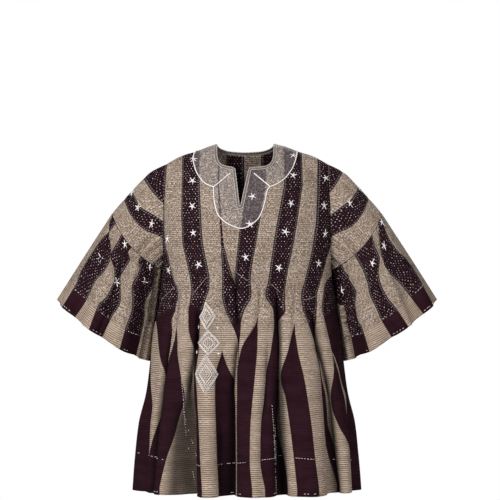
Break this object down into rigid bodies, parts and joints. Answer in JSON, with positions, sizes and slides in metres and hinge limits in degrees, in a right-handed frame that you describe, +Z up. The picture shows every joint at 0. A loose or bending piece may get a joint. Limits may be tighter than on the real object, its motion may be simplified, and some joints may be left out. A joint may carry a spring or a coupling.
{
  "type": "fugu smock",
  "caption": "Flared smock of narrow woven strips with short wide sleeves, an open slit neck and a gathered skirt, held in its worn shape.",
  "frame": {"origin": "middle of the shoulder line at the level of the two shoulder points beside the neck, where the wearer's shoulders carry the smock", "axes": "+X towards the wearer's left sleeve, -Y out of the front, +Z up"},
  "size_m": [0.9104, 0.3494, 0.824],
  "materials": {
    "strip_cloth": "matte handwoven cotton in dark aubergine and ribbed tan bands",
    "neck_binding": "matte cotton with grey-white stitching",
    "white_thread": "soft off-white embroidery thread"
  },
  "bodies": {
    "root": {"front_yoke": "strip_cloth", "back_yoke": "strip_cloth", "front_skirt": "strip_cloth", "back_skirt": "strip_cloth", "neck_binding": "neck_binding", "right_sleeve_cap": "strip_cloth", "left_sleeve_cap": "strip_cloth", "right_sleeve_flare": "strip_cloth", "left_sleeve_flare": "strip_cloth"}
  },
  "joints": []
}
